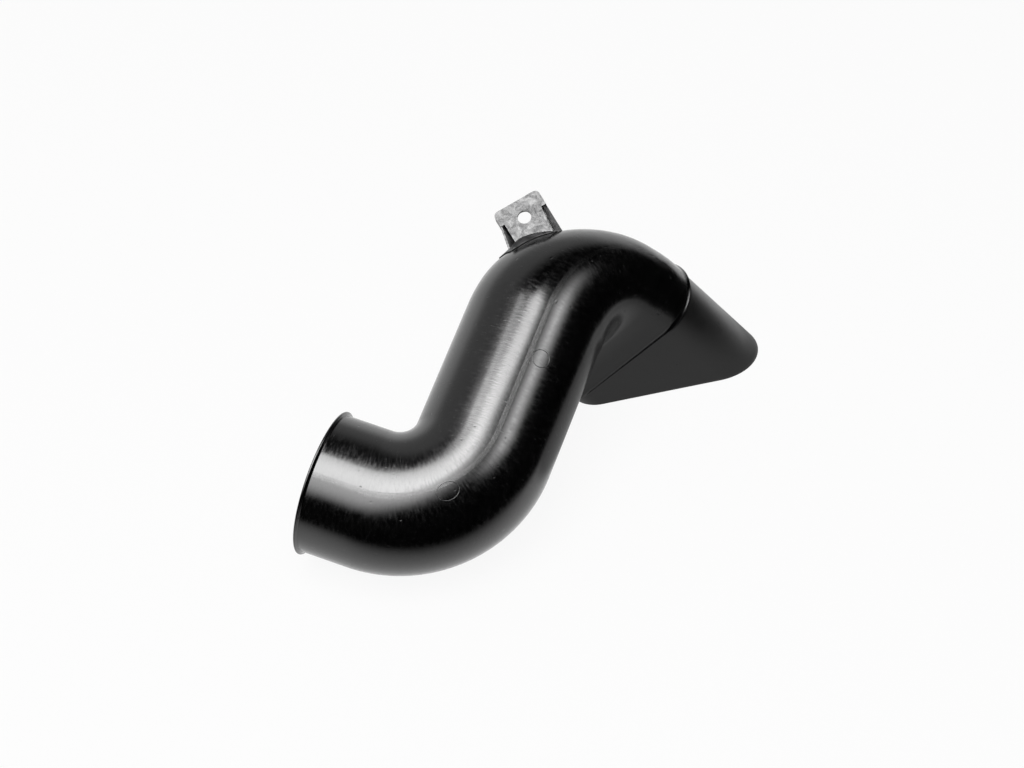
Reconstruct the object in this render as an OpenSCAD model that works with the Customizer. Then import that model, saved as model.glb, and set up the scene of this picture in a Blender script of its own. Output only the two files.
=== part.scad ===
// Moulded air outlet duct: a round lipped inlet, an S-shaped run of round tube, an elbow that
// changes from round to a tall flat-sided section, a mounting tab, and a slanted outlet spout.
// The origin is the centre of the inlet's mouth. X runs the way the air enters, Z is up, and the
// duct lies as it rests: on the underside of its first bend and on the rim of the spout.

/* [Round duct] */
// Outside diameter of the round duct
duct_d = 76; // [66:1:84]
// Wall of the duct
wall = 2; // [1.5:0.1:2.6]
// Length of the straight inlet sleeve
inlet_len = 27; // [15:1:40]
// How far the inlet lip stands out from the duct
inlet_lip_h = 1.9; // [1:0.1:4]
// Width of the inlet lip along the duct
inlet_lip_w = 2.2; // [1.5:0.1:4]
// Angle at which the inlet dips below level, in degrees
inlet_dip = 5.4; // [0:0.2:8]

/* [Path] */
// Radius of the first bend along its centre line
bend_r = 46; // [45:1:60]
// Compass angle of the middle run, from X towards Y
run_turn = 88.6; // [80:0.2:95]
// Climb of the middle run, in degrees
run_climb = 18.6; // [10:0.2:24]
// Length of the straight middle run
run_len = 76; // [60:1:100]
// Radius of the elbow's first arc along its centre line
crest_r = 39; // [38:1:50]
// Compass angle where the elbow's two arcs meet
crest_turn = 61.3; // [55:0.1:65]
// Fall where the elbow's two arcs meet, in degrees
crest_fall = 32.2; // [26:0.1:36]
// Radius of the elbow's second arc along its centre line
fall_r = 52.5; // [50:0.5:70]
// Compass angle of the outlet end
outlet_turn = 35.4; // [32:0.1:40]
// Fall of the outlet end, in degrees
outlet_fall = 51.1; // [48:0.1:55]
// Length of the straight outlet end, its lip included
outlet_len = 24; // [18:1:30]

/* [Outlet section] */
// Width of the outlet end across its flat sides
outlet_w = 50.2; // [46:0.2:56]
// Length of each flat side
outlet_flat = 57.2; // [48:0.2:62]
// Radius of the two lower corners
outlet_corner_r = 12; // [8:0.2:16]
// How far the section's flat sides are centred below the path
outlet_drop = 5.7; // [0:0.1:8]
// How far the lip of the outlet end stands out
outlet_lip_h = 0.8; // [0.6:0.1:2]
// Width of the lip of the outlet end
outlet_lip_w = 1.9; // [1.2:0.1:3]

/* [Spout] */
// Wall of the spout
spout_wall = 2; // [1.5:0.1:2.6]
// How far the spout's outside is set in from the outlet end's outside
spout_step = 0.6; // [0.4:0.1:1.2]
// Length of the plug that goes into the outlet end
plug_len = 9; // [5:0.5:14]
// Gap between the plug and the outlet end's bore
plug_gap = 0.15; // [0.05:0.05:0.4]
// Compass angle of the spout's sides
spout_turn = 36.5; // [34:0.1:39]
// Fall of the spout's sides, in degrees
spout_fall = 53.6; // [50:0.1:60]

/* [Tab] */
// Place of the tab along the crest's first arc, in degrees from its start
tab_along = 41.3; // [36:0.1:46]
// Place of the tab around the duct, in degrees from the section's long axis
tab_around = -61.5; // [-70:0.5:-54]
// Compass angle that the tab's face looks along
tab_face_turn = -84.4; // [-92:0.2:-78]
// Rise of the tab's face, in degrees
tab_face_rise = 62.5; // [52:0.1:66]
// Turn of the tab in its own plane, in degrees
tab_spin = 132.6; // [128:0.2:138]
// Height of the tab above the duct's surface
tab_h = 23.8; // [21:0.2:28]
// Width of the tab's head
tab_head_w = 28.2; // [27:0.2:34]
// Width of the plate between the grooves
tab_plate_w = 23; // [20:0.2:24]
// Depth of the head at its left end
tab_head_left = 8.6; // [6:0.2:9]
// Depth of the head at its right end
tab_head_right = 10.2; // [8:0.2:11]
// Radius of the head's corners
tab_corner_r = 2.8; // [1:0.1:4]
// Thickness of the tab
tab_t = 5.4; // [4:0.1:7]
// Depth of the grooves beside the plate
groove_depth = 4; // [2:0.1:4.5]
// How far the legs beside the grooves lie below the plate's face
leg_drop = 0.7; // [0.3:0.1:1.2]
// Lean of the left leg, in degrees
leg_lean_left = 11; // [8:1:15]
// Lean of the right leg, in degrees
leg_lean_right = 0; // [0:1:6]
// Width of the groove at the head
groove_w = 1.6; // [1.2:0.1:2]
// Radius of the tab's hole
tab_hole_r = 3.8; // [3:0.1:4.5]
// Distance from the head's top edge to the hole's centre
tab_hole_down = 10.8; // [10:0.1:12]

/* [Hidden] */
$fn = 96;
duct_r = duct_d / 2;
// Points around a lofted ring, and rings along each arc of the elbow
ring_n = 60;
crest_steps = 10;
fall_steps = 7;
// Depth to which the tab's root is sunk into the duct's wall
root_sink = 12;
// Cuts pass through a face by this much
over = 1;
// Each length of duct laps into the one before it, a hair inside its wall on both faces, so that
// the lengths join as one
lap = 0.5;
hair = 0.06;

// A unit vector from a compass angle and a climb
function heading(turn, climb) = [cos(turn) * cos(climb), sin(turn) * cos(climb), sin(climb)];
function unit(v) = v / norm(v);
// The vector v turned about the unit axis k by an angle
function turned(v, k, angle) =
    v * cos(angle) + cross(k, v) * sin(angle) + k * (k * v) * (1 - cos(angle));
// A value from 0 to 1 eased at both ends
function eased(t) = let(c = min(max(t, 0), 1)) c * c * (3 - 2 * c);

// The path's four headings
inlet_dir = heading(0, -inlet_dip);
run_dir = heading(run_turn, run_climb);
crest_dir = heading(crest_turn, -crest_fall);
outlet_dir = heading(outlet_turn, -outlet_fall);

// Arcs: the axis that each one turns about, its angle and the point d along it
function arc_axis(a, b) = unit(cross(a, b));
function arc_angle(a, b) = acos(a * b);
function arc_centre(p, a, b, r) = p + r * cross(arc_axis(a, b), a);
function arc_point(p, a, b, r, angle) =
    arc_centre(p, a, b, r) - r * turned(cross(arc_axis(a, b), a), arc_axis(a, b), angle);

bend_angle = arc_angle(inlet_dir, run_dir);
lap_angle = lap / bend_r * 180 / PI;
crest_angle = arc_angle(run_dir, crest_dir);
fall_angle = arc_angle(crest_dir, outlet_dir);
bend_start = inlet_dir * inlet_len;
run_start = arc_point(bend_start, inlet_dir, run_dir, bend_r, bend_angle);
crest_start = run_start + run_dir * run_len;
fall_start = arc_point(crest_start, run_dir, crest_dir, crest_r, crest_angle);
outlet_start = arc_point(fall_start, crest_dir, outlet_dir, fall_r, fall_angle);

// Lowest point of a round length of radius r where its centre line passes p along d
function underside(p, d, r) = p[2] - r * sqrt(1 - d[2] * d[2]);
// Level of the ground that the duct lies on
ground = min(concat(
    [underside([0, 0, 0], inlet_dir, duct_r + inlet_lip_h)],
    [for (angle = [0 : 1 : bend_angle]) underside(
        arc_point(bend_start, inlet_dir, run_dir, bend_r, angle),
        turned(inlet_dir, arc_axis(inlet_dir, run_dir), angle), duct_r)]));

// The long axis of the section: it rises at the outlet end and is carried back along both arcs
outlet_up = unit([0, 0, 1] - outlet_dir * outlet_dir[2]);
fall_up = turned(outlet_up, arc_axis(crest_dir, outlet_dir), -fall_angle);
crest_up = turned(fall_up, arc_axis(run_dir, crest_dir), -crest_angle);

// One station of the elbow: its centre, heading, long axis and distance from the crest's start
crest_len = crest_r * crest_angle * PI / 180;
fall_len = fall_r * fall_angle * PI / 180;
function run_station(back) = [crest_start - back * run_dir, run_dir, crest_up, -back];
function crest_station(angle) = [
    arc_point(crest_start, run_dir, crest_dir, crest_r, angle),
    turned(run_dir, arc_axis(run_dir, crest_dir), angle),
    turned(crest_up, arc_axis(run_dir, crest_dir), angle),
    crest_r * angle * PI / 180];
function fall_station(angle) = [
    arc_point(fall_start, crest_dir, outlet_dir, fall_r, angle),
    turned(crest_dir, arc_axis(crest_dir, outlet_dir), angle),
    turned(fall_up, arc_axis(crest_dir, outlet_dir), angle),
    crest_len + fall_r * angle * PI / 180];
function outlet_station(d) = [
    outlet_start + outlet_dir * d, outlet_dir, outlet_up, crest_len + fall_len + d];

// The elbow's flat facets stay inside the round wall of the run: its outer ring touches by its
// corners and its bore by the middles of its facets
elbow_inset = 3 * hair;
elbow_bore_inset = wall - elbow_inset - duct_r * (1 / cos(180 / ring_n) - 1);

// How far the section has changed from round to flat-sided. The change starts just after the
// crest's start and is complete where the plug's bore begins.
morph_start = 10;
morph_end = crest_len + fall_len + outlet_len - plug_len - over;
function morph(d) = eased((d - morph_start) / (morph_end - morph_start));

// A point of the flat-sided outline, a share t of the way from the middle of its round top,
// down one side to the middle of its base: quarter circle, side, corner, half base
function side_point(t, inset) =
    let(w = outlet_w / 2 - inset)
    let(r = outlet_corner_r - inset)
    let(top = w * PI / 2)
    let(corner = r * PI / 2)
    let(s = t * (top + outlet_flat + corner + w - r))
    s < top ? [outlet_flat / 2 + w * cos(s / w * 180 / PI), w * sin(s / w * 180 / PI)] :
    s < top + outlet_flat ? [outlet_flat / 2 - (s - top), w] :
    s < top + outlet_flat + corner ?
        let(a = (s - top - outlet_flat) / r * 180 / PI)
        [-outlet_flat / 2 - r * sin(a), w - r + r * cos(a)] :
    [-outlet_flat / 2 - r, (w - r) - (s - top - outlet_flat - corner)];
function outline_point(t, inset) =
    t <= 0.5 ? side_point(2 * t, inset) :
    let(p = side_point(2 - 2 * t, inset)) [p[0], -p[1]];

// The section at a station, as a ring of points in space
function section_point(t, m, inset) =
    (1 - m) * (duct_r - inset) * [cos(360 * t), sin(360 * t)]
    + m * (outline_point(t, inset) - [outlet_drop, 0]);
function place(station, p) =
    station[0] + station[2] * p[0] + cross(station[1], station[2]) * p[1];
function ring(station, inset) =
    let(m = morph(station[3]))
    [for (i = [0 : ring_n - 1]) place(station, section_point(i / ring_n, m, inset))];

// The stations of the elbow, from inside the end of the run to the lip of the outlet end
stations = [
    run_station(lap),
    for (i = [0 : crest_steps - 1]) crest_station(crest_angle * i / crest_steps),
    for (i = [0 : fall_steps - 1]) fall_station(fall_angle * i / fall_steps),
    outlet_station(0),
    outlet_station((outlet_len - plug_len - over) / 2),
    outlet_station(outlet_len - plug_len - over)];
lip_station = outlet_station(outlet_len - outlet_lip_w);
end_station = outlet_station(outlet_len);

// Rings joined one to the next, and the last one to the first, as a closed wall
function reversed(list) = [for (i = [len(list) - 1 : -1 : 0]) list[i]];
module closed_wall(rings) {
    count = len(rings);
    polyhedron(
        points = [for (r = rings) each r],
        faces = [
            for (i = [0 : count - 1])
            for (j = [0 : ring_n - 1])
            let(k = (i + 1) % count)
            let(n = (j + 1) % ring_n)
            each [
                [i * ring_n + j, k * ring_n + j, k * ring_n + n],
                [i * ring_n + j, k * ring_n + n, i * ring_n + n]]]);
}

// A solid whose outside is the rings, closed by a flat face at each end
module filled_rings(rings) {
    count = len(rings);
    polyhedron(
        points = [for (r = rings) each r],
        faces = [
            [for (j = [0 : ring_n - 1]) j],
            [for (j = [ring_n - 1 : -1 : 0]) (count - 1) * ring_n + j],
            for (i = [0 : count - 2])
            for (j = [0 : ring_n - 1])
            let(n = (j + 1) % ring_n)
            each [
                [i * ring_n + j, (i + 1) * ring_n + j, (i + 1) * ring_n + n],
                [i * ring_n + j, (i + 1) * ring_n + n, i * ring_n + n]]]);
}

// Children that stand along Z are laid along a heading from a point
module along(point, turn, climb) {
    translate(point) rotate([0, 90 - climb, turn]) children();
}

// Straight sleeve and its lip, turned from one profile
module inlet_sleeve() {
    rotate_extrude() {
        translate([duct_r - wall, 0]) square([wall, inlet_len]);
        translate([duct_r - wall / 2, 0]) square([wall / 2 + inlet_lip_h - inlet_lip_w / 2, inlet_lip_w]);
        translate([duct_r + inlet_lip_h - inlet_lip_w / 2, inlet_lip_w / 2]) circle(r = inlet_lip_w / 2);
    }
}

module wall_profile(inset) {
    difference() {
        circle(r = duct_r - inset);
        circle(r = duct_r - wall + inset);
    }
}

// First bend, in its own frame: x away from the bend's centre, y along the inlet
module first_bend() {
    axis = arc_axis(inlet_dir, run_dir);
    x = -cross(axis, inlet_dir);
    c = arc_centre(bend_start, inlet_dir, run_dir, bend_r);
    multmatrix([
        [x[0], inlet_dir[0], axis[0], c[0]],
        [x[1], inlet_dir[1], axis[1], c[1]],
        [x[2], inlet_dir[2], axis[2], c[2]]])
        rotate([0, 0, -lap_angle]) rotate_extrude(angle = bend_angle + lap_angle)
        translate([bend_r, 0]) wall_profile(hair);
}

// Straight run, which ends half a lap before the elbow's first bent ring
module middle_run() {
    along(run_start - lap * run_dir, run_turn, run_climb)
        linear_extrude(run_len + lap / 2) wall_profile(2 * hair);
}

// Elbow from round to flat-sided, with the lip of the outlet end
module elbow() {
    outer = [for (s = stations) ring(s, elbow_inset)];
    inner = [for (s = stations) ring(s, elbow_bore_inset)];
    closed_wall(concat(
        outer,
        [ring(lip_station, elbow_inset), ring(lip_station, -outlet_lip_h)],
        [ring(end_station, -outlet_lip_h), ring(end_station, elbow_bore_inset)],
        reversed(inner)));
}

// Space inside the run's end and the elbow, up to the middle of their wall
module core() {
    filled_rings([for (s = concat([run_station(run_len / 2)], stations)) ring(s, wall / 2)]);
}

tab_station = crest_station(tab_along);
tab_root = place(tab_station, section_point(tab_around / 360 + 1, morph(tab_station[3]), 0));

// One leg beside the plate: side is -1 for the left and 1 for the right
module leg(side, head_depth, lean) {
    top = tab_h - head_depth;
    inner_top = tab_plate_w / 2 + groove_w;
    drift = (top + root_sink) * tan(lean);
    outer_top = tab_head_w / 2;
    polygon([
        [side * inner_top, top + over],
        [side * outer_top, top + over],
        [side * outer_top, top],
        [side * (outer_top + drift), -root_sink],
        [side * (inner_top + drift), -root_sink],
        [side * inner_top, top]]);
}

module plate_outline() {
    translate([-tab_plate_w / 2, -root_sink]) square([tab_plate_w, tab_h + root_sink - over]);
}

// Head with rounded corners and a shoulder at each end
module head_outline() {
    half = tab_head_w / 2;
    hull() {
        for (side = [-1, 1])
            translate([side * (half - tab_corner_r), tab_h - tab_corner_r])
                circle(r = tab_corner_r, $fn = 32);
        translate([-half, tab_h - tab_head_left]) square([half, over]);
        translate([0, tab_h - tab_head_right]) square([half, over]);
    }
}

module legs_outline() {
    leg(-1, tab_head_left, leg_lean_left);
    leg(1, tab_head_right, leg_lean_right);
}

// Back web that closes the grooves: the whole outline of the tab
module web_outline() {
    hull() {
        legs_outline();
        plate_outline();
    }
    head_outline();
}

// Tab in its own plane: y points out from the duct and z is the way its face looks
module tab() {
    translate(tab_root) rotate([0, 90 - tab_face_rise, tab_face_turn]) rotate([0, 0, tab_spin])
        translate([0, 0, -tab_t / 2])
        difference() {
            union() {
                linear_extrude(tab_t - groove_depth) web_outline();
                linear_extrude(tab_t - leg_drop) legs_outline();
                linear_extrude(tab_t) {
                    plate_outline();
                    head_outline();
                }
            }
            translate([0, tab_h - tab_hole_down, -over]) cylinder(r = tab_hole_r, h = tab_t + 2 * over);
        }
}

// Round duct, elbow, outlet end and tab, moulded as one
module duct_body() {
    color("#1b1b1d") {
        along([0, 0, 0], 0, -inlet_dip) inlet_sleeve();
        first_bend();
        middle_run();
        elbow();
        difference() {
            tab();
            core();
        }
    }
}

// A ring of the spout at the outlet end's face, and the same ring carried down to the ground
spout_dir = heading(spout_turn, -spout_fall);
function landed(p) = p - spout_dir * ((p[2] - ground) / spout_dir[2]);
function mouth_ring(inset) = [for (p = ring(end_station, inset)) landed(p)];

// Slanted spout: a plug inside the outlet end, a shoulder against its face, and flat sides that
// run down to a mouth level with the ground
module outlet_spout() {
    plug_station = outlet_station(outlet_len - plug_len);
    plug_inset = elbow_bore_inset + plug_gap;
    bore_inset = plug_inset + spout_wall;
    color("#202022") closed_wall([
        ring(plug_station, plug_inset),
        ring(end_station, plug_inset),
        ring(end_station, spout_step),
        mouth_ring(spout_step),
        mouth_ring(spout_step + spout_wall),
        ring(end_station, bore_inset),
        ring(plug_station, bore_inset)]);
}

duct_body();
outlet_spout();
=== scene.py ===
"""Moulded black air outlet duct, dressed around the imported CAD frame.

The duct and its spout are lofted through stations along one path, with the same sizes and the same
rule for the section as the CAD. Lengths are in millimetres until a mesh is made, in metres after.
"""
import math

import bmesh
import bpy
import numpy as np
from mathutils import Matrix, Vector


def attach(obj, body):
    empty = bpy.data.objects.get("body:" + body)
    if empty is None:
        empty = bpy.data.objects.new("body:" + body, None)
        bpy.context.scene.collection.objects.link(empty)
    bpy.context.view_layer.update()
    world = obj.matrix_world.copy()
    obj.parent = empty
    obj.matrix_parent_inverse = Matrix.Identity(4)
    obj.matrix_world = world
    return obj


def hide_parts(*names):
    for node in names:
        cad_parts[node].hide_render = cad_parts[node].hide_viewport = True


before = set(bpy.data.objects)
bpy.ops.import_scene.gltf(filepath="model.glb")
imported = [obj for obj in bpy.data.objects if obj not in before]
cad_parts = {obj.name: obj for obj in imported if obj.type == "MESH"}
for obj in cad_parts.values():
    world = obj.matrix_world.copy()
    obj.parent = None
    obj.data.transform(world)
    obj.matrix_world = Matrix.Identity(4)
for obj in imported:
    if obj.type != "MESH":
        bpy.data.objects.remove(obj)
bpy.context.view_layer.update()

MM = 0.001

# Sizes of the duct, as in the CAD
DUCT_R = 38.0
WALL = 2.0
INLET_LEN = 27.0
INLET_DIP = 5.4
INLET_LIP_H = 1.9
BEND_R = 46.0
RUN_TURN, RUN_CLIMB, RUN_LEN = 88.6, 18.6, 76.0
CREST_R, CREST_TURN, CREST_FALL = 39.0, 61.3, 32.2
FALL_R = 52.5
OUTLET_TURN, OUTLET_FALL, OUTLET_LEN = 35.4, 51.1, 24.0
OUTLET_W, OUTLET_FLAT, OUTLET_CORNER_R, OUTLET_DROP = 50.2, 57.2, 12.0, 5.7
OUTLET_LIP_H = 0.8
SPOUT_WALL, SPOUT_STEP = 2.0, 0.6
PLUG_LEN, PLUG_INSET = 9.0, 2.1
SPOUT_TURN, SPOUT_FALL = 36.5, 53.6
MORPH_START = 10.0
# The tab, in its own plane: x along its head, y out from the duct, z the way its face looks
TAB_ALONG, TAB_AROUND = 41.3, -61.5
TAB_FACE_TURN, TAB_FACE_RISE, TAB_SPIN = -84.4, 62.5, 132.6
TAB_H, TAB_HEAD_W, TAB_PLATE_W = 23.8, 28.2, 23.0
TAB_HEAD_LEFT, TAB_HEAD_RIGHT, TAB_CORNER_R = 8.6, 10.2, 2.8
TAB_T, LEG_DROP, LEG_LEAN, GROOVE_W = 5.4, 0.7, 11.0, 1.6
TAB_HOLE_R, TAB_HOLE_DOWN = 3.8, 10.8
TAB_ROOT_SINK = 7.0

# What the shown duct has beyond the CAD. The shown surface lies SKIN inside the CAD's.
SKIN = 0.03
INLET_BEAD_R, INLET_BEAD_BACK, INLET_LIP_LESS = 0.7, 0.05, 0.04
OUTLET_FLARE, OUTLET_GROOVE, OUTLET_EDGE_R = 2.5, 0.75, 0.22
RING_POINTS, RING_STEP, RING_STEP_INSIDE = 192, 1.1, 2.4
# The tab's plate narrows by PLATE_TAPER towards its foot, on the right. Its hole is wider behind.
PLATE_TAPER, PLATE_SHY, GROOVE_LAP, TAB_BEVEL = 3.2, 0.4, 0.5, 0.35
HOLE_BACK_MORE, HOLE_FACE_T = 1.5, 1.5


def heading(turn, climb):
    """A unit vector from a compass angle and a climb, in degrees."""
    t, c = math.radians(turn), math.radians(climb)
    return np.array([math.cos(t) * math.cos(c), math.sin(t) * math.cos(c), math.sin(c)])


def unit(v):
    return v / np.linalg.norm(v)


def turned(v, axis, angle):
    """The vector v turned about a unit axis, in degrees."""
    a = math.radians(angle)
    return v * math.cos(a) + np.cross(axis, v) * math.sin(a) + axis * (axis @ v) * (1 - math.cos(a))


def eased(share):
    c = min(max(share, 0.0), 1.0)
    return c * c * (3 - 2 * c)


class Straight:
    """A straight length of the duct's path."""

    def __init__(self, start, direction, length):
        self.start, self.direction, self.length = start, direction, length

    def at(self, d):
        return self.start + self.direction * d, self.direction

    def carried_up(self, up, d):
        return up


class Arc:
    """A length of the path that turns from one heading to another."""

    def __init__(self, start, a, b, radius):
        self.axis = unit(np.cross(a, b))
        self.angle = math.degrees(math.acos(a @ b))
        self.start, self.direction, self.radius = start, a, radius
        self.length = radius * math.radians(self.angle)

    def at(self, d):
        angle = math.degrees(d / self.radius)
        arm = np.cross(self.axis, self.direction)
        point = self.start + self.radius * (arm - turned(arm, self.axis, angle))
        return point, turned(self.direction, self.axis, angle)

    def carried_up(self, up, d):
        return turned(up, self.axis, math.degrees(d / self.radius))


class DuctPath:
    """The centre line from the inlet's mouth to the end of the outlet, with the section's long axis."""

    def __init__(self):
        inlet = heading(0, -INLET_DIP)
        run = heading(RUN_TURN, RUN_CLIMB)
        crest = heading(CREST_TURN, -CREST_FALL)
        outlet = heading(OUTLET_TURN, -OUTLET_FALL)
        self.pieces = []
        self.place(Straight, inlet, INLET_LEN)
        self.place(Arc, inlet, run, BEND_R)
        self.place(Straight, run, RUN_LEN)
        self.crest_at = sum(p.length for p in self.pieces)
        self.place(Arc, run, crest, CREST_R)
        self.place(Arc, crest, outlet, FALL_R)
        self.place(Straight, outlet, OUTLET_LEN)
        self.length = sum(p.length for p in self.pieces)
        self.starts = np.cumsum([0] + [p.length for p in self.pieces])
        up = unit(np.array([0, 0, 1]) - outlet * outlet[2])
        self.ups = []
        for piece in reversed(self.pieces):
            if isinstance(piece, Arc):
                up = turned(up, piece.axis, -piece.angle)
            self.ups.insert(0, up)
        self.morph_end = self.length - self.crest_at - PLUG_LEN - 1

    def place(self, kind, *values):
        end = self.pieces[-1].at(self.pieces[-1].length)[0] if self.pieces else np.zeros(3)
        self.pieces.append(kind(end, *values))

    def at(self, s):
        """Centre, heading, long axis and share of the change from round to flat-sided."""
        i = min(int(np.searchsorted(self.starts, s, side="right")) - 1, len(self.pieces) - 1)
        i = max(i, 0)
        d = s - self.starts[i]
        centre, direction = self.pieces[i].at(d)
        up = self.pieces[i].carried_up(self.ups[i], d)
        past = s - self.crest_at
        return centre, direction, up, eased((past - MORPH_START) / (self.morph_end - MORPH_START))


PATH = DuctPath()


def flat_outline(count):
    """The flat-sided outline, evenly spaced from the middle of its round top: x up, y across."""
    half, r = OUTLET_W / 2, OUTLET_CORNER_R
    top, corner, base = half * math.pi / 2, r * math.pi / 2, half - r
    total = top + OUTLET_FLAT + corner + base
    points = []
    for i in range(count):
        t = 2 * i / count
        s = (t if t <= 1 else 2 - t) * total
        if s < top:
            x, y = OUTLET_FLAT / 2 + half * math.cos(s / half), half * math.sin(s / half)
        elif s < top + OUTLET_FLAT:
            x, y = OUTLET_FLAT / 2 - (s - top), half
        elif s < top + OUTLET_FLAT + corner:
            a = (s - top - OUTLET_FLAT) / r
            x, y = -OUTLET_FLAT / 2 - r * math.sin(a), half - r + r * math.cos(a)
        else:
            x, y = -OUTLET_FLAT / 2 - r, base - (s - top - OUTLET_FLAT - corner)
        points.append((x - OUTLET_DROP, y if t <= 1 else -y))
    return points


OUTLINE = np.array(flat_outline(720))


def surface_point(s, around, inset=0.0):
    """A point of the duct's outside: s along the path, around in degrees from the long axis."""
    centre, direction, up, morph = PATH.at(s)
    t = (around / 360) % 1
    side = np.cross(direction, up)
    circle = (DUCT_R - inset) * np.array([math.cos(2 * math.pi * t), math.sin(2 * math.pi * t)])
    flat = np.array([np.interp(t * 720, np.arange(721), np.append(OUTLINE[:, k], OUTLINE[0, k]))
                     for k in (0, 1)])
    p = (1 - morph) * circle + morph * flat
    return centre + up * p[0] + side * p[1]


def ground_level():
    """Height of the plane that the duct lies on."""
    low = []
    for s in np.arange(0, INLET_LEN + 90, 0.5):
        centre, direction, _, _ = PATH.at(s)
        radius = DUCT_R + (INLET_LIP_H if s < 0.5 else 0)
        low.append(centre[2] - radius * math.sqrt(1 - direction[2] ** 2))
    return min(low)


GROUND = ground_level()


# Stations: one vertex for each ring of a loft, with what the ring needs as attributes

def station(s, inset, landed=0.0):
    """A ring at s along the path, inset from the outside. Landed is its share of the way from the
    outlet down to the ground, along the spout."""
    centre, direction, up, morph = PATH.at(min(max(s, 0), PATH.length))
    if s < 0 or s > PATH.length:
        centre = centre + direction * (s - min(max(s, 0), PATH.length))
    return {"position": centre * MM, "up": up, "side": np.cross(direction, up), "morph": morph,
            "inset": (inset + SKIN) * MM, "landed": landed, "along": s * MM}


def rounded_corner(s0, inset0, radius, start, turn, steps=4):
    """Stations round a small corner of the wall's profile, about a centre (s0, inset0)."""
    out = []
    for i in range(steps + 1):
        a = math.radians(start + turn * i / steps)
        out.append(station(s0 + radius * math.cos(a), inset0 - radius * math.sin(a)))
    return out


def stations_past(start, profile):
    """Stations at steps along the path from start, each with its inset."""
    return [station(start + step, inset) for step, inset in profile]


def body_stations():
    """From the mouth's inner edge over the rolled lip, along the outside, and back inside."""
    rows = rounded_corner(0.5, WALL - 0.5, 0.5, 270, -90)
    bead, lip = INLET_BEAD_R, INLET_LIP_H - INLET_LIP_LESS
    rows += rounded_corner(bead + INLET_BEAD_BACK, bead - lip, bead, 180, -135, 8)
    # The lip comes down at 45 degrees and meets the sleeve at its foot
    foot = lip + bead * (math.sqrt(2) - 1) + INLET_BEAD_BACK
    rows += stations_past(foot, ((-0.8, -0.8), (-0.06, -0.06), (0.03, -0.01), (0.12, 0), (0.5, 0)))
    flare = PATH.length - OUTLET_FLARE
    rows += [station(s, 0) for s in np.arange(foot + 1.2, flare - 1.5, RING_STEP)]
    # A slight swell, a groove with a steep side, and the flare up to the outlet's lip
    rows += stations_past(flare, ((-1.0, -0.01), (-0.35, -0.05), (-0.12, -0.06), (-0.03, -0.02),
                                  (0.05, OUTLET_GROOVE - 0.05), (0.12, OUTLET_GROOVE)))
    edge = OUTLET_EDGE_R
    rows.append(station(PATH.length - 2 * edge, -OUTLET_LIP_H + 0.1))
    rows += rounded_corner(PATH.length - edge, -(OUTLET_LIP_H - edge), edge, 100, -100)
    rows += rounded_corner(PATH.length - edge, WALL - edge, edge, 0, -90)
    rows += [station(s, WALL) for s in np.arange(PATH.length - 2.5, 2.0, -RING_STEP_INSIDE)]
    rows.append(station(0.5, WALL))
    return rows


def spout_stations():
    """The plug inside the outlet, the shoulder at its face, and the sides down to the mouth."""
    end, tip, edge, steps = PATH.length, PATH.length - PLUG_LEN, 0.3, 24
    within, inner = SPOUT_STEP + SPOUT_WALL, PLUG_INSET + SPOUT_WALL
    rows = [station(tip + edge, PLUG_INSET), station(end - 4, PLUG_INSET),
            station(end, PLUG_INSET), station(end, SPOUT_STEP + 0.25), station(end, SPOUT_STEP)]
    rows += [station(end, SPOUT_STEP, i / steps) for i in range(1, steps)]
    rows += [station(end, SPOUT_STEP, 0.996), station(end, SPOUT_STEP + 0.1, 0.999),
             station(end, SPOUT_STEP + 0.4, 1), station(end, within - 0.4, 1),
             station(end, within, 0.997)]
    for share in np.arange(2, steps, 2) / steps:
        rows.append(station(end, within + (inner - within) * share, 1 - share))
    rows += [station(end, inner), station(end - 4, inner), station(tip + edge, inner),
             station(tip, inner - edge), station(tip, PLUG_INSET + edge),
             station(tip + edge, PLUG_INSET)]
    return rows


def linked(name, data):
    """A new object in the scene for a mesh, a curve, a lamp or a camera."""
    obj = bpy.data.objects.new(name, data)
    bpy.context.collection.objects.link(obj)
    return obj


def evaluated_mesh(obj):
    """A new mesh of the object with its modifiers applied."""
    evaluated = obj.evaluated_get(bpy.context.evaluated_depsgraph_get())
    return bpy.data.meshes.new_from_object(evaluated)


def closed_curve(name, points):
    """A closed curve object through points in metres."""
    curve = bpy.data.curves.new(name, "CURVE")
    curve.dimensions = "3D"
    spline = curve.splines.new("POLY")
    spline.points.add(len(points) - 1)
    for point, place in zip(spline.points, points):
        point.co = (*place, 1)
    spline.use_cyclic_u = True
    return linked(name, curve)


def stations_object(name, rows):
    """A loose vertex for each station, which carries the station's values as attributes."""
    mesh = bpy.data.meshes.new(name)
    mesh.from_pydata([tuple(r["position"]) for r in rows], [], [])
    for key in ("up", "side"):
        mesh.attributes.new(key, "FLOAT_VECTOR", "POINT").data.foreach_set(
            "vector", np.array([r[key] for r in rows], dtype=np.float32).ravel())
    for key in ("morph", "inset", "landed", "along"):
        mesh.attributes.new(key, "FLOAT", "POINT").data.foreach_set(
            "value", np.array([r[key] for r in rows], dtype=np.float32))
    return linked(name, mesh)


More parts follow.
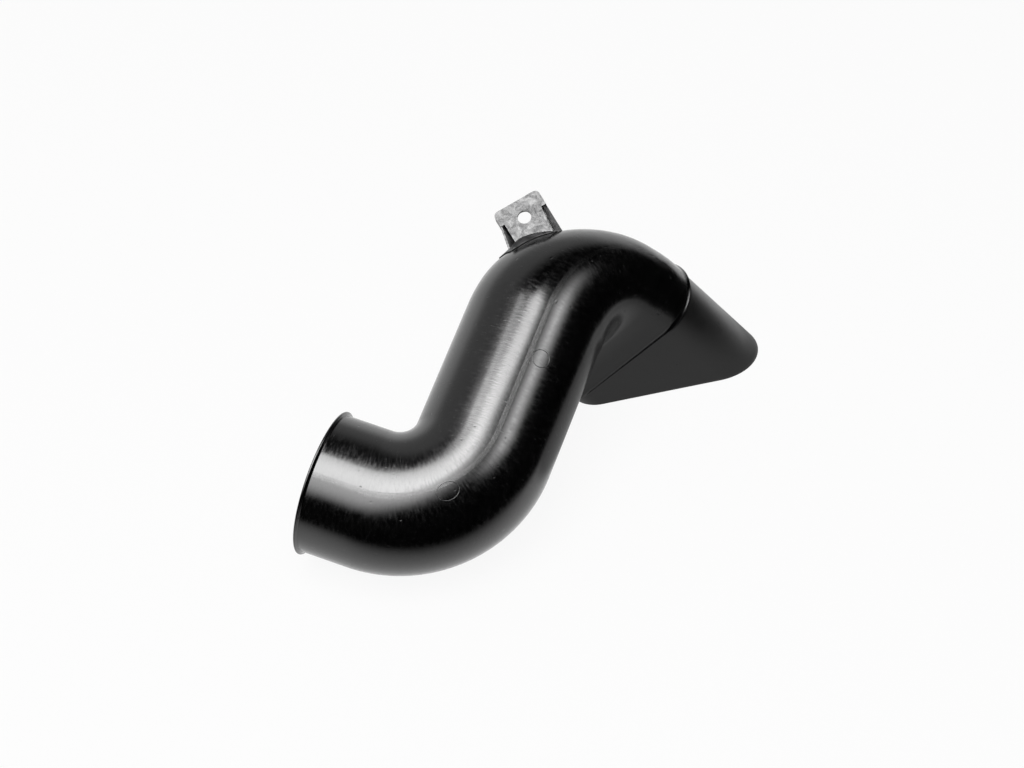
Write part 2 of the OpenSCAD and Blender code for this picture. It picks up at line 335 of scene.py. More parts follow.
class Tree:
    """Shorthand for building a node tree: nodes are added with their values and linked by socket."""

    def __init__(self, tree):
        self.tree = tree

    def add(self, kind, inputs=None, **settings):
        node = self.tree.nodes.new(kind)
        for key, value in settings.items():
            setattr(node, key, value)
        for key, value in (inputs or {}).items():
            socket = node.inputs[key]
            if isinstance(value, bpy.types.NodeSocket):
                self.tree.links.new(value, socket)
            else:
                socket.default_value = value
        return node

    def math(self, operation, a, b=0.0, c=0.0):
        kind = "ShaderNodeMath"
        return self.add(kind, {0: a, 1: b, 2: c}, operation=operation).outputs[0]

    def vector(self, operation, a, b=(0, 0, 0), scale=None):
        inputs = {0: a, 1: b}
        if scale is not None:
            inputs["Scale"] = scale
        node = self.add("ShaderNodeVectorMath", inputs, operation=operation)
        return node.outputs["Value" if operation in ("DOT_PRODUCT", "LENGTH") else "Vector"]

    def group(self, tree, inputs):
        return self.add("ShaderNodeGroup", inputs, node_tree=tree).outputs


def geometry_tree(name, inputs):
    """A Geometry Nodes group from geometry to geometry: its tree helper and its given inputs."""
    group = bpy.data.node_groups.new(name, "GeometryNodeTree")
    for label, kind in (("Geometry", "Geometry"), *inputs, ("Material", "Material")):
        group.interface.new_socket(label, in_out="INPUT", socket_type="NodeSocket" + kind)
    group.interface.new_socket("Geometry", in_out="OUTPUT", socket_type="NodeSocketGeometry")
    t = Tree(group)
    return t, t.add("NodeGroupInput").outputs


def finished(t, geometry, material):
    """Ends a Geometry Nodes group with smooth shading, real geometry and a material."""
    smooth = t.add("GeometryNodeSetShadeSmooth", {"Geometry": geometry})
    real = t.add("GeometryNodeRealizeInstances", {"Geometry": smooth.outputs[0]})
    done = t.add("GeometryNodeSetMaterial", {"Geometry": real.outputs[0], "Material": material})
    t.tree.links.new(done.outputs[0], t.add("NodeGroupOutput").inputs[0])
    return t.tree


def loft_tree():
    """Geometry Nodes: a closed wall lofted through stations, from round to the given outline."""
    t, given = geometry_tree("loft_through_stations", [
        ("Outline", "Object"), ("Ring Points", "Int"), ("Duct Radius", "Float"),
        ("Spout Heading", "Vector"), ("Ground Level", "Float")])
    stations = given["Geometry"]
    count = t.add("GeometryNodeAttributeDomainSize", {"Geometry": stations}).outputs["Point Count"]
    across = t.math("ADD", given["Ring Points"], 1.0)
    grid = t.add("GeometryNodeMeshGrid", {"Vertices X": count, "Vertices Y": across})
    index = t.add("GeometryNodeInputIndex").outputs[0]
    row = t.math("FLOOR", t.math("DIVIDE", t.math("ADD", index, 0.5), across))
    share = t.math("DIVIDE", t.math("SUBTRACT", index, t.math("MULTIPLY", row, across)),
                   given["Ring Points"])

    def sampled(name, kind):
        if name == "position":
            value = t.add("GeometryNodeInputPosition").outputs[0]
        else:
            value = t.add("GeometryNodeInputNamedAttribute", {"Name": name}, data_type=kind)
            value = value.outputs["Attribute"]
        node = t.add("GeometryNodeSampleIndex",
                     {"Geometry": stations, "Value": value, "Index": row}, data_type=kind)
        return node.outputs[0]

    centre = sampled("position", "FLOAT_VECTOR")
    up, side = sampled("up", "FLOAT_VECTOR"), sampled("side", "FLOAT_VECTOR")
    morph, inset = sampled("morph", "FLOAT"), sampled("inset", "FLOAT")
    landed, along = sampled("landed", "FLOAT"), sampled("along", "FLOAT")
    angle = t.math("MULTIPLY", share, 2 * math.pi)
    circle = t.add("ShaderNodeCombineXYZ", {0: t.math("COSINE", angle), 1: t.math("SINE", angle)})
    circle = circle.outputs[0]
    round_part = t.vector("SCALE", circle, scale=t.math("SUBTRACT", given["Duct Radius"], inset))
    outline = t.add("GeometryNodeObjectInfo", {"Object": given["Outline"]}).outputs["Geometry"]
    curve = t.add("GeometryNodeSampleCurve", {"Curves": outline, "Factor": share}, mode="FACTOR")
    outward = t.vector("CROSS_PRODUCT", curve.outputs["Tangent"], (0, 0, 1))
    flat_part = t.vector("SUBTRACT", curve.outputs["Position"],
                         t.vector("SCALE", outward, scale=inset))
    section = t.add("ShaderNodeMix", {"Factor": morph, 4: round_part, 5: flat_part},
                    data_type="VECTOR").outputs[1]
    parts = t.add("ShaderNodeSeparateXYZ", {0: section}).outputs
    point = t.vector("ADD", centre, t.vector("SCALE", up, scale=parts[0]))
    point = t.vector("ADD", point, t.vector("SCALE", side, scale=parts[1]))
    height = t.math("SUBTRACT", t.add("ShaderNodeSeparateXYZ", {0: point}).outputs[2],
                    given["Ground Level"])
    drop = t.math("DIVIDE", height,
                  t.add("ShaderNodeSeparateXYZ", {0: given["Spout Heading"]}).outputs[2])
    point = t.vector("SUBTRACT", point, t.vector(
        "SCALE", given["Spout Heading"], scale=t.math("MULTIPLY", drop, landed)))
    placed = t.add("GeometryNodeSetPosition", {"Geometry": grid.outputs["Mesh"], "Position": point})
    flow = t.add("ShaderNodeCombineXYZ", {0: along, 1: share, 2: landed}).outputs[0]
    marked = t.add("GeometryNodeStoreNamedAttribute",
                   {"Geometry": placed.outputs[0], "Name": "flow", "Value": flow},
                   data_type="FLOAT_VECTOR", domain="POINT")
    merged = t.add("GeometryNodeMergeByDistance",
                   {"Geometry": marked.outputs[0], "Distance": 0.01 * MM})
    return finished(t, merged.outputs[0], given["Material"])


def set_inputs(modifier, group, values):
    """Sets a modifier's inputs by the identifiers of the group's sockets."""
    for item in group.interface.items_tree:
        if item.item_type == "SOCKET" and item.in_out == "INPUT" and item.name in values:
            modifier[item.identifier] = values[item.name]


def baked(name, source, group, values):
    """The evaluated result of a Geometry Nodes tree on source, as a plain mesh object."""
    modifier = source.modifiers.new("loft", "NODES")
    modifier.node_group = group
    set_inputs(modifier, group, values)
    mesh = evaluated_mesh(source)
    mesh.name = name
    bpy.data.objects.remove(source)
    return outward_faces(linked(name, mesh))


def outward_faces(obj):
    """Recalculates the faces so that they all point outwards."""
    bm = bmesh.new()
    bm.from_mesh(obj.data)
    bmesh.ops.recalc_face_normals(bm, faces=bm.faces)
    if bm.calc_volume(signed=True) < 0:
        bmesh.ops.reverse_faces(bm, faces=bm.faces)
    bm.to_mesh(obj.data)
    bm.free()
    return obj


# Materials: effects shared as node groups, and one Principled shader for each plastic

def effect(name, inputs, outputs):
    """A shader node group with named sockets, its tree helper and its given inputs."""
    group = bpy.data.node_groups.new(name, "ShaderNodeTree")
    for label, kind in inputs:
        group.interface.new_socket(label, in_out="INPUT", socket_type="NodeSocket" + kind)
    for label in outputs:
        group.interface.new_socket(label, in_out="OUTPUT", socket_type="NodeSocketFloat")
    t = Tree(group)
    return t, t.add("NodeGroupInput").outputs, t.add("NodeGroupOutput").inputs


def moulded_grain():
    """Fine hairlines that run around the duct, over a soft unevenness of the wall."""
    t, given, out = effect("moulded_grain", [("Vector", "Vector"), ("Hair", "Vector"),
                                             ("Depth", "Float"), ("Waviness", "Float")],
                           ["Height", "Hair Share"])
    hair = t.add("ShaderNodeTexNoise", {"Vector": t.vector("MULTIPLY", given["Vector"], given["Hair"]),
                                        "Scale": 1.0, "Detail": 3.0, "Roughness": 0.6})
    wave = t.add("ShaderNodeTexNoise", {"Vector": given["Vector"], "Scale": 90.0, "Detail": 2.0})
    height = t.math("MULTIPLY", hair.outputs[0], given["Depth"])
    height = t.math("ADD", height, t.math("MULTIPLY", wave.outputs[0], given["Waviness"]))
    t.tree.links.new(height, out["Height"])
    t.tree.links.new(hair.outputs[0], out["Hair Share"])
    return t.tree


def nicks():
    """Sparse small dents and short scratches: cells of a stretched pattern, a few of them cut."""
    t, given, out = effect("nicks", [("Vector", "Vector"), ("Stretch", "Vector"), ("Size", "Float"),
                                     ("Share", "Float"), ("Depth", "Float")], ["Height", "Mask"])
    cells = t.add("ShaderNodeTexVoronoi", {
        "Vector": t.vector("MULTIPLY", given["Vector"], given["Stretch"]), "Scale": 1.0})
    chosen = t.add("ShaderNodeSeparateColor", {0: cells.outputs["Color"]}).outputs[0]
    chosen = t.math("LESS_THAN", chosen, given["Share"])
    near = t.add("ShaderNodeMapRange", {"Value": cells.outputs["Distance"], "From Min": 0.0,
                                        "From Max": given["Size"], "To Min": 1.0, "To Max": 0.0},
                 interpolation_type="SMOOTHSTEP").outputs[0]
    mask = t.math("MULTIPLY", near, chosen)
    t.tree.links.new(mask, out["Mask"])
    t.tree.links.new(t.math("MULTIPLY", mask, t.math("MULTIPLY", given["Depth"], -1.0)),
                     out["Height"])
    return t.tree


def mottle():
    """Cloudy blotches: a share from 0 to 1 in soft blotches with finer specks. In the roughness they
    are handling marks; in the base colour of the tab they are painted sheen, a patchy reflection put
    into the colour.
    """
    t, given, out = effect("mottle", [("Vector", "Vector"), ("Scale", "Float"),
                                      ("Contrast", "Float")], ["Share"])
    cloud = t.add("ShaderNodeTexNoise", {"Vector": given["Vector"], "Scale": given["Scale"],
                                         "Detail": 6.0, "Roughness": 0.65, "Distortion": 0.8})
    share = t.math("MULTIPLY", t.math("SUBTRACT", cloud.outputs[0], 0.5), given["Contrast"])
    share = t.add("ShaderNodeClamp", {"Value": t.math("ADD", share, 0.5)}).outputs[0]
    t.tree.links.new(share, out["Share"])
    return t.tree


def wrapped():
    """The flow attribute wrapped round a cylinder, so that patterns meet at its seam."""
    group = bpy.data.node_groups.new("wrapped_flow", "ShaderNodeTree")
    group.interface.new_socket("Radius", in_out="INPUT", socket_type="NodeSocketFloat")
    group.interface.new_socket("Vector", in_out="OUTPUT", socket_type="NodeSocketVector")
    t = Tree(group)
    radius = t.add("NodeGroupInput").outputs["Radius"]
    flow = t.add("ShaderNodeAttribute", attribute_name="flow").outputs["Vector"]
    parts = t.add("ShaderNodeSeparateXYZ", {0: flow}).outputs
    angle = t.math("MULTIPLY", parts[1], 2 * math.pi)
    landed = t.math("MULTIPLY", parts[2], 0.08)
    vector = t.add("ShaderNodeCombineXYZ", {
        0: t.math("MULTIPLY", t.math("COSINE", angle), radius),
        1: t.math("MULTIPLY", t.math("SINE", angle), radius),
        2: t.math("ADD", parts[0], landed)}).outputs[0]
    group.links.new(vector, t.add("NodeGroupOutput").inputs["Vector"])
    return group


GRAIN, NICKS, MOTTLE, WRAPPED = moulded_grain(), nicks(), mottle(), wrapped()


def plastic(name, look):
    """Moulded black plastic, with the amounts of each effect taken from look."""
    material = bpy.data.materials.new(name)
    material.use_nodes = True
    t = Tree(material.node_tree)
    shader = material.node_tree.nodes["Principled BSDF"]
    if look["wrapped"]:
        vector = t.group(WRAPPED, {"Radius": DUCT_R * MM})["Vector"]
    else:
        vector = t.add("ShaderNodeTexCoord").outputs["Object"]
    grain = t.group(GRAIN, {"Vector": vector, "Hair": look["hair"], "Depth": look["hair_depth"],
                            "Waviness": look["waviness"]})
    pits = t.group(NICKS, {"Vector": vector, "Stretch": look["pit_stretch"], "Size": 0.35,
                           "Share": look["pit_share"], "Depth": look["pit_depth"]})
    ticks = t.group(NICKS, {"Vector": vector, "Stretch": look["tick_stretch"], "Size": 0.3,
                            "Share": look["tick_share"], "Depth": look["tick_depth"]})
    marks = t.group(MOTTLE, {"Vector": vector, "Scale": look["mottle_scale"],
                             "Contrast": look["mottle_contrast"]})["Share"]
    height = t.math("ADD", grain["Height"], t.math("ADD", pits["Height"], ticks["Height"]))
    bump = t.add("ShaderNodeBump", {"Height": height, "Strength": 1.0, "Distance": 1.0})
    t.tree.links.new(bump.outputs["Normal"], shader.inputs["Normal"])
    rough = t.add("ShaderNodeMapRange", {"Value": marks, "To Min": look["smooth"],
                                         "To Max": look["rough"]}).outputs[0]
    streaks = t.add("ShaderNodeMapRange", {"Value": grain["Hair Share"], "From Min": 0.4,
                                           "From Max": 0.75, "To Max": look["streaks"]}).outputs[0]
    rough = t.math("ADD", rough, streaks)
    t.tree.links.new(rough, shader.inputs["Roughness"])
    # Base colour from dark to lighter with the blotches: on the tab this is painted sheen, patchy
    # reflection put into the colour
    colour = t.add("ShaderNodeMix", {"Factor": marks, 6: (*look["dark"], 1), 7: (*look["pale_tone_and_sheen"], 1)},
                   data_type="RGBA").outputs[2]
    t.tree.links.new(colour, shader.inputs["Base Color"])
    shader.inputs["IOR"].default_value = look["ior"]
    return material


DUCT_LOOK = {"wrapped": True, "dark": (0.0008, 0.0008, 0.0009), "pale_tone_and_sheen": (0.002, 0.002, 0.0021),
             "smooth": 0.1, "rough": 0.16, "streaks": 0.16, "ior": 1.65,
             "hair": (240, 240, 1300), "hair_depth": 0.00003, "waviness": 0.00002,
             "pit_stretch": (420, 420, 420), "pit_share": 0.025, "pit_depth": 0.00012,
             "tick_stretch": (330, 330, 1300), "tick_share": 0.02, "tick_depth": 0.0001,
             "mottle_scale": 120.0, "mottle_contrast": 2.0}
SPOUT_LOOK = {**DUCT_LOOK, "smooth": 0.26, "rough": 0.34, "streaks": 0.04,
              "pit_share": 0.01, "pit_depth": 0.00004, "tick_share": 0.004}
BEAD_LOOK = {**DUCT_LOOK, "wrapped": False, "smooth": 0.2, "rough": 0.3, "streaks": 0.1,
             "hair": (900, 900, 900), "mottle_scale": 700.0}
# The tab is the duct's black plastic painted lighter, with stronger blotches: its colours carry painted
# sheen, the reflection on its face
TAB_LOOK = {**DUCT_LOOK, "wrapped": False, "smooth": 0.22, "rough": 0.62, "streaks": 0.1,
            "dark": (0.004, 0.004, 0.0041), "pale_tone_and_sheen": (0.03, 0.03, 0.031),
            "hair": (900, 900, 900), "waviness": 0.00003, "pit_share": 0.05,
            "mottle_scale": 230.0, "mottle_contrast": 3.0}
duct_plastic = plastic("duct_plastic", DUCT_LOOK)
spout_plastic = plastic("spout_plastic", SPOUT_LOOK)
tab_plastic_painted_sheen = plastic("tab_plastic_painted_sheen", TAB_LOOK)
bead_plastic = plastic("bead_plastic", BEAD_LOOK)

# Duct and spout

outline_curve = closed_curve("outlet_outline", [(x * MM, y * MM, 0) for x, y in OUTLINE])
loft = loft_tree()
common = {"Outline": outline_curve, "Ring Points": RING_POINTS, "Duct Radius": DUCT_R * MM,
          "Spout Heading": tuple(heading(SPOUT_TURN, -SPOUT_FALL)), "Ground Level": GROUND * MM}
duct = baked("duct", stations_object("duct_stations", body_stations()), loft,
             {**common, "Material": duct_plastic})
spout = baked("spout", stations_object("spout_stations", spout_stations()), loft,
              {**common, "Material": spout_plastic})
bpy.data.objects.remove(outline_curve)


# Tab

def tab_place():
    """The matrix from the tab's own plane to the row frame, in metres."""
    s = PATH.crest_at + CREST_R * math.radians(TAB_ALONG)
    root = surface_point(s, TAB_AROUND)
    turn = Matrix.Rotation(math.radians(TAB_FACE_TURN), 4, "Z")
    rise = Matrix.Rotation(math.radians(90 - TAB_FACE_RISE), 4, "Y")
    spin = Matrix.Rotation(math.radians(TAB_SPIN), 4, "Z")
    return Matrix.Translation(Vector(root * MM)) @ turn @ rise @ spin @ Matrix.Scale(MM, 4)


def block(name, bm):
    """A new object from a closed bmesh, with its faces outwards."""
    bmesh.ops.recalc_face_normals(bm, faces=bm.faces)
    mesh = bpy.data.meshes.new(name)
    bm.to_mesh(mesh)
    bm.free()
    return linked(name, mesh)


def slab(outline, low, high):
    """A closed prism over an outline in the tab's plane."""
    bm = bmesh.new()
    floor = [bm.verts.new((x, y, low)) for x, y in outline]
    bm.faces.new(floor)
    top = bmesh.ops.extrude_face_region(bm, geom=list(bm.faces))
    moved = [v for v in top["geom"] if isinstance(v, bmesh.types.BMVert)]
    bmesh.ops.translate(bm, verts=moved, vec=(0, 0, high - low))
    return block("slab", bm)


def head_outline():
    """The tab's squared head, with two rounded corners and a lower edge that is deeper right."""
    half, r = TAB_HEAD_W / 2, TAB_CORNER_R
    corners = []
    for side, start in ((1, 0), (-1, 90)):
        for i in range(9):
            a = math.radians(start + 90 * i / 8)
            corners.append((side * (half - r) + r * math.cos(a), TAB_H - r + r * math.sin(a)))
    return corners + [(-half, TAB_H - TAB_HEAD_LEFT), (0, TAB_H - TAB_HEAD_RIGHT),
                      (half, TAB_H - TAB_HEAD_RIGHT)]


def groove_floor(outline, heights):
    """A closed wedge over four points of the tab's plane, with a top height at each of them."""
    bm = bmesh.new()
    low = [bm.verts.new((x, y, -TAB_T / 2)) for x, y in outline]
    high = [bm.verts.new((x, y, z)) for (x, y), z in zip(outline, heights)]
    bm.faces.new(low)
    for a, b, c in ((0, 1, 2), (0, 2, 3)):
        bm.faces.new((high[a], high[b], high[c]))
    for i in range(4):
        j = (i + 1) % 4
        bm.faces.new((low[i], low[j], high[j], high[i]))
    return block("groove_floor", bm)


def leg_outline():
    """The strip left of the left groove, which leans outwards on its way down."""
    top = TAB_H - TAB_HEAD_LEFT
    inner, outer = -(TAB_PLATE_W / 2 + GROOVE_W), -TAB_HEAD_W / 2
    drift = (top + TAB_ROOT_SINK) * math.tan(math.radians(LEG_LEAN))
    return [(inner, top + 1), (outer, top + 1), (outer, top), (outer - drift, -TAB_ROOT_SINK),
            (inner - drift, -TAB_ROOT_SINK), (inner, top)]


def bore_outline(radius):
    """The circle of the tab's hole."""
    angles = [math.radians(a) for a in range(0, 360, 5)]
    return [(radius * math.cos(a), TAB_H - TAB_HOLE_DOWN + radius * math.sin(a)) for a in angles]


def combined(base, other, operation):
    """Joins or cuts base by other, and takes other away."""
    modifier = base.modifiers.new(operation.lower(), "BOOLEAN")
    modifier.object, modifier.operation, modifier.solver = other, operation, "EXACT"
    mesh = evaluated_mesh(base)
    base.modifiers.clear()
    base.data = mesh
    bpy.data.objects.remove(other)


def make_tab():
    """The tab: a head, a plate and a left strip, the floors of its two grooves, and its hole."""
    half, outer, foot = TAB_PLATE_W / 2, TAB_HEAD_W / 2, -TAB_ROOT_SINK
    low, high = -TAB_T / 2, TAB_T / 2
    left_top, right_top = TAB_H - TAB_HEAD_LEFT, TAB_H - TAB_HEAD_RIGHT
    taper = half - PLATE_TAPER
    plate = [(-half, foot), (taper, foot), (half - PLATE_SHY, right_top + 1),
             (half - PLATE_SHY, TAB_H - 1), (-half, TAB_H - 1)]
    leg = leg_outline()
    tab = slab(head_outline(), low, high)
    combined(tab, slab(plate, low, high), "UNION")
    combined(tab, slab(leg, low, high - LEG_DROP), "UNION")
    left_end, right_end = left_top + GROOVE_LAP, right_top + GROOVE_LAP
    # The left groove rises outwards, the right one is flat, and the strip beside it falls outwards
    left_floor = [(-half + GROOVE_LAP, foot), (-half + GROOVE_LAP, left_end),
                  (leg[5][0] - 0.1, left_end), (leg[4][0] - 0.1, foot)]
    right_floor = [(taper - GROOVE_LAP, foot), (taper + 1.2, foot), (half + 1.0, right_end),
                   (half - 0.9, right_end)]
    right_strip = [(taper + 1.0, foot), (outer, foot), (outer, right_end), (half + 0.7, right_end)]
    for outline, heights in (
            (left_floor, (low + 0.3, low + 0.3, high - 1.4, high - 1.4)),
            (right_floor, (low + 0.4, low + 0.4, low + 0.4, low + 0.4)),
            (right_strip, (high - 0.6, high - 2.6, high - 2.0, high - 0.6))):
        combined(tab, groove_floor(outline, heights), "UNION")
    combined(tab, slab(bore_outline(TAB_HOLE_R), low - 1, high + 1), "DIFFERENCE")
    wide = bore_outline(TAB_HOLE_R + HOLE_BACK_MORE)
    combined(tab, slab(wide, low - 1, high - HOLE_FACE_T), "DIFFERENCE")
    bevel = tab.modifiers.new("edges", "BEVEL")
    bevel.width, bevel.segments, bevel.limit_method = TAB_BEVEL, 3, "ANGLE"
    bevel.angle_limit = math.radians(35)
    mesh = evaluated_mesh(tab)
    mesh.transform(tab_place())
    mesh.name = "tab"
    bpy.data.objects.remove(tab)
    mesh.materials.clear()
    mesh.materials.append(tab_plastic_painted_sheen)
    return outward_faces(linked("tab", mesh))


tab = make_tab()


# Marks of the mould on the duct: the foot of the tab with its seam, and two round gate marks

def lifted(s, around, height):
    """A point above the duct's outside, in metres."""
    step = 0.2
    p = surface_point(s, around)
    along = surface_point(s + step, around) - surface_point(s - step, around)
    across = surface_point(s, around + step) - surface_point(s, around - step)
    out = unit(np.cross(across, along))
    centre = PATH.at(s)[0]
    return (p + (out if out @ (p - centre) > 0 else -out) * height) * MM


# The seam where the tab's foot meets the duct: x in the tab's plane, path length, angle around,
# and the height in the tab's plane where the foot leaves its face
TAB_SEAM = ((-16.6, 193.0, -81, 0.4), (-15.0, 193.3, -77.5, 1.0), (-13.0, 193.4, -73, 1.6),
            (-11.0, 193.0, -68.5, 1.9), (-9.0, 192.5, -64.5, 2.1), (-6.5, 194.5, -61, 2.0),
            (-2.5, 198.0, -58.8, 1.2), (2.0, 201.5, -55.8, 0.0), (6.0, 204.2, -50.8, -1.4),
            (9.5, 206.2, -46, -3.0), (12.0, 207.4, -43, -4.4))
SEAM_H, SEAM_GAP_H, SEAM_SINK, FOOT_RISE = 0.6, 0.15, 1.2, 1.6
FOOT_ROWS, FOOT_SLOPE_POINTS = 81, 12


def make_foot():
    """The tab's foot, from the tab's face down to a seam on the duct with a shadow gap under it."""
    knots = np.arange(len(TAB_SEAM))
    fine = np.linspace(0, len(TAB_SEAM) - 1, FOOT_ROWS)
    x, s, around, y = (np.interp(fine, knots, [p[k] for p in TAB_SEAM]) for k in range(4))
    y = y + FOOT_RISE * np.sin(np.pi * fine / fine[-1])
    place = tab_place()
    slope = [j / (FOOT_SLOPE_POINTS - 1) for j in range(FOOT_SLOPE_POINTS)]
    points = []
    for i in range(FOOT_ROWS):
        top = np.array(place @ Vector((x[i], y[i], TAB_T / 2 - 0.1)))
        inside = np.array(place @ Vector((x[i], y[i], -TAB_T / 2 + 0.3)))
        seam, gap = lifted(s[i], around[i], SEAM_H), lifted(s[i], around[i], SEAM_GAP_H)
        root = lifted(s[i] + 1.5, around[i] - 3, -SEAM_SINK)
        foot = (top + seam) / 2
        points += [top * (1 - t) ** 2 + foot * 2 * t * (1 - t) + seam * t * t for t in slope]
        points += [seam * 0.4 + gap * 0.6, gap * 0.7 + root * 0.3, root, inside]
    width, last = len(points) // FOOT_ROWS, FOOT_ROWS - 1
    faces = [(i * width + j, i * width + (j + 1) % width, (i + 1) * width + (j + 1) % width,
              (i + 1) * width + j) for i in range(last) for j in range(width)]
    faces += [tuple(range(width)), tuple(range(last * width, FOOT_ROWS * width))]
    mesh = bpy.data.meshes.new("tab_foot")
    mesh.from_pydata([tuple(p) for p in points], [], faces)
    mesh.polygons.foreach_set("use_smooth", [True] * len(mesh.polygons))
    mesh.materials.append(tab_plastic_painted_sheen)
    return outward_faces(linked("tab_foot", mesh))


def bead_tree():
    """Geometry Nodes: a thin round bead swept along a curve."""
    t, given = geometry_tree("bead_along_curve", [("Bead Radius", "Float")])
    section = t.add("GeometryNodeCurvePrimitiveCircle",
                    {"Resolution": 10, "Radius": given["Bead Radius"]})
    swept = t.add("GeometryNodeCurveToMesh",
                  {"Curve": given["Geometry"], "Profile Curve": section.outputs["Curve"]})
    return finished(t, swept.outputs[0], given["Material"])


def gate_mark(name, s, around, radius, bead, height):
    """A raised ring that follows the duct's surface about one point."""
    points = []
    for i in range(GATE_MARK_POINTS):
        a = 2 * math.pi * i / GATE_MARK_POINTS
        turn = math.degrees(radius * math.sin(a) / DUCT_R)
        points.append(lifted(s + radius * math.cos(a), around + turn, height))
    return baked(name, closed_curve(name, points), beads,
                 {"Bead Radius": bead * MM, "Material": bead_plastic})


GATE_MARK_POINTS = 72
beads = bead_tree()
foot = make_foot()
# Name, path length, angle around, radius, radius of the bead and height of its middle
marks = [gate_mark("gate_mark_crest", 146, 10, 4.9, 0.2, -0.08),
         gate_mark("gate_mark_bend", 65, 6, 4.7, 0.2, -0.06)]

# Floor, world, lamps and camera

AIM = Vector((0.09, 0.1, 0.03))


def faded(t, vector, way, dark, bright, low=0.0, high=1.0):
    """A soft edge across a direction: low at dark and high at bright, measured along way."""
    along = t.vector("DOT_PRODUCT", vector, tuple(way))
    return t.add("ShaderNodeMapRange", {"Value": along, "From Min": dark, "From Max": bright,
                                        "To Min": low, "To Max": high},
                 interpolation_type="SMOOTHSTEP").outputs[0]


def sheet_material():
    """A white sheet. The camera sees it white with soft shadows, and gloss sees it end nearby."""
    material = bpy.data.materials.new("white_sheet")
    material.use_nodes = True
    t = Tree(material.node_tree)
    paper = material.node_tree.nodes["Principled BSDF"]
    paper.inputs["Base Color"].default_value = (0.85, 0.85, 0.85, 1)
    paper.inputs["Roughness"].default_value = 0.9
    rays = t.add("ShaderNodeLightPath").outputs
    shown = t.math("MAXIMUM", rays["Is Camera Ray"], rays["Is Transmission Ray"])
    place = t.add("ShaderNodeTexCoord").outputs["Object"]
    reach = t.math("MULTIPLY", faded(t, place, heading(SHEET_TURN, 0), *SHEET_FRONT),
                   faded(t, place, (1, 0, 0), *SHEET_RIGHT))
    off = t.vector("LENGTH", t.vector("SUBTRACT", place, SHEET_SHADE_AT))
    shade = t.add("ShaderNodeMapRange", {"Value": off, "From Min": SHEET_SHADE_R[0],
                                         "From Max": SHEET_SHADE_R[1], "To Min": SHEET_SHADE},
                  interpolation_type="SMOOTHSTEP")
    reach = t.math("MULTIPLY", reach, shade.outputs[0])
    glow = t.add("ShaderNodeEmission", {"Color": (1, 1, 1, 1),
                                        "Strength": t.math("MAXIMUM", reach, shown)})
    share = t.math("MAXIMUM", t.math("MULTIPLY", shown, SHEET_SEEN), rays["Is Glossy Ray"])
    mixed = t.add("ShaderNodeMixShader", {0: share, 1: paper.outputs[0], 2: glow.outputs[0]})
    t.tree.links.new(mixed.outputs[0], t.tree.nodes["Material Output"].inputs["Surface"])
    return material


FLOOR_FRONT, FLOOR_BACK, FLOOR_SIDE = 0.3, 3.0, 1.6
# Share of plain white in what the camera sees, the edges where gloss sees the sheet fade, and the
# round spot under the elbow where gloss sees it in the shade
SHEET_SEEN = 0.92
SHEET_TURN, SHEET_FRONT, SHEET_RIGHT = -57, (0.165, 0.055), (0.31, 0.2)
SHEET_SHADE, SHEET_SHADE_AT, SHEET_SHADE_R = 0.42, (0.165, 0.165, GROUND * MM), (0.075, 0.105)
floor_mesh = bpy.data.meshes.new("table")
floor_mesh.from_pydata([(AIM.x + x, AIM.y + y, GROUND * MM) for x, y in (
    (-FLOOR_SIDE, -FLOOR_FRONT), (FLOOR_SIDE, -FLOOR_FRONT), (FLOOR_SIDE, FLOOR_BACK),
    (-FLOOR_SIDE, FLOOR_BACK))], [], [(0, 1, 2, 3)])
table = linked("table", floor_mesh)
floor_mesh.materials.append(sheet_material())

# The world is a white backdrop behind the duct and a dark room on the other sides. The camera sees
# the backdrop's white everywhere, and gloss sees it where it stands, brightest at its foot.
BACKDROP_LEVEL, BACKDROP_FOOT, BACKDROP_FOOT_RISE = 0.5, 1.0, 0.34
BACKDROP_RIGHT_END, BACKDROP_FRONT_END = (heading(-25, 30), 0.1, -0.25), (heading(-90, 0), 0.2, -0.2)
world = bpy.data.worlds.new("studio")
world.use_nodes = True
bpy.context.scene.world = world
w = Tree(world.node_tree)
look_way = w.add("ShaderNodeTexCoord").outputs["Generated"]
backdrop = w.math("MULTIPLY", faded(w, look_way, *BACKDROP_RIGHT_END),
                  faded(w, look_way, *BACKDROP_FRONT_END))
backdrop = w.math("MULTIPLY", backdrop, faded(w, look_way, (0, 0, 1), BACKDROP_FOOT_RISE, 0.0,
                                              BACKDROP_LEVEL, BACKDROP_FOOT))
seen = w.add("ShaderNodeLightPath").outputs["Is Camera Ray"]
world.node_tree.links.new(w.math("MAXIMUM", backdrop, seen),
                          world.node_tree.nodes["Background"].inputs["Strength"])
world.node_tree.nodes["Background"].inputs["Color"].default_value = (1, 1, 1, 1)


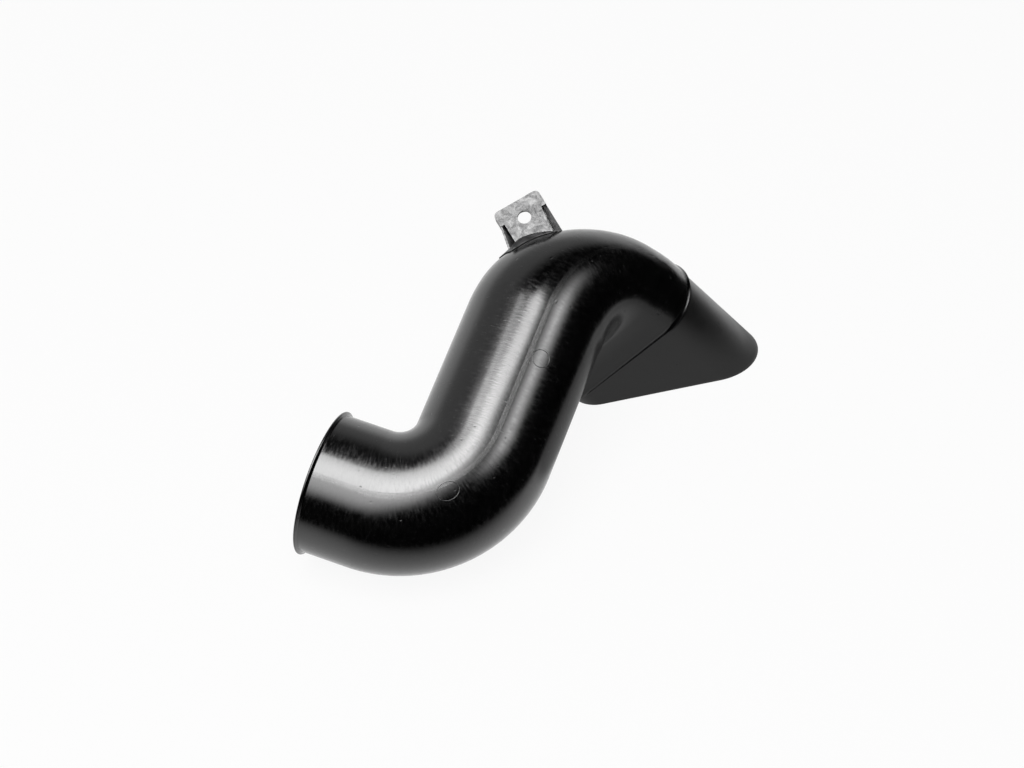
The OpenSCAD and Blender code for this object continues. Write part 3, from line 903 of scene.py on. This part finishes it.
def soft_lamp(name, turn, rise, distance, spin, half_width, half_height, edge, radiance, gloss):
    """A softbox aimed at the duct that fades at its edges. It lights gloss or colours, not both."""
    data = bpy.data.lights.new(name, "AREA")
    data.shape = "RECTANGLE"
    data.size, data.size_y = 2 * (half_width + edge), 2 * (half_height + edge)
    data.energy = radiance * math.pi * data.size * data.size_y
    data.use_nodes = True
    t = Tree(data.node_tree)
    place = t.add("ShaderNodeSeparateXYZ",
                  {0: t.add("ShaderNodeNewGeometry").outputs["Parametric"]}).outputs
    level = 1.0
    for axis, half, full in ((0, half_width, data.size), (1, half_height, data.size_y)):
        off = t.math("ABSOLUTE", t.math("MULTIPLY", t.math("SUBTRACT", place[axis], 0.5), full))
        share = t.add("ShaderNodeMapRange", {"Value": off, "From Min": half + edge,
                                             "From Max": half - edge},
                      interpolation_type="SMOOTHSTEP").outputs[0]
        level = t.math("MULTIPLY", share, level)
    data.node_tree.links.new(level, data.node_tree.nodes["Emission"].inputs["Strength"])
    out = Vector(heading(turn, rise))
    across = Vector((0, 0, 1)).cross(out).normalized()
    frame_of = Matrix((across, out.cross(across), out)).transposed()
    lamp = linked(name, data)
    lamp.matrix_world = (Matrix.Translation(AIM + out * distance) @ frame_of.to_4x4()
                         @ Matrix.Rotation(math.radians(spin), 4, "Z"))
    lamp.visible_camera = False
    lamp.visible_glossy, lamp.visible_diffuse = gloss, not gloss


# Name, turn, rise, distance, spin, half sizes, edge, radiance and whether it lights gloss
for lamp_values in (
        ("broad_sheen", -126.9, 72.1, 2.6, 18.6, 0.892, 0.832, 0.102, 6.5, True),
        ("front_sheen", -121.4, 58.3, 2.35, -79.5, 1.187, 1.105, 0.7, 5.1, True),
        ("core_sheen", -60.5, 71.2, 1.16, -26.8, 0.03, 0.509, 0.476, 8.2, True),
        ("side_sheen", 12.4, 49.2, 2.26, -11.3, 0.665, 0.03, 0.7, 14.7, True),
        ("near_sheen", 80, 89, 0.45, -26, 0.065, 0.094, 0.035, 7.7, True),
        ("fill", -90, 66, 2.0, 0, 0.8, 0.8, 0.3, 4.8, False)):
    soft_lamp(*lamp_values)

camera_data = bpy.data.cameras.new("camera")
camera_data.sensor_width = 36
camera_data.lens = 87.1875
camera = linked("camera", camera_data)
camera.matrix_world = Matrix((
    (0.93811, -0.24666, 0.24313, 0.40051),
    (0.34635, 0.66811, -0.65854, -0.79557),
    (0.0, 0.70199, 0.71219, 0.97240),
    (0, 0, 0, 1)))
bpy.context.scene.camera = camera
bpy.context.scene.view_settings.view_transform = "Standard"

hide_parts("duct_body")
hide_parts("outlet_spout")
for piece in (duct, tab, spout, foot, *marks):
    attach(piece, "root")
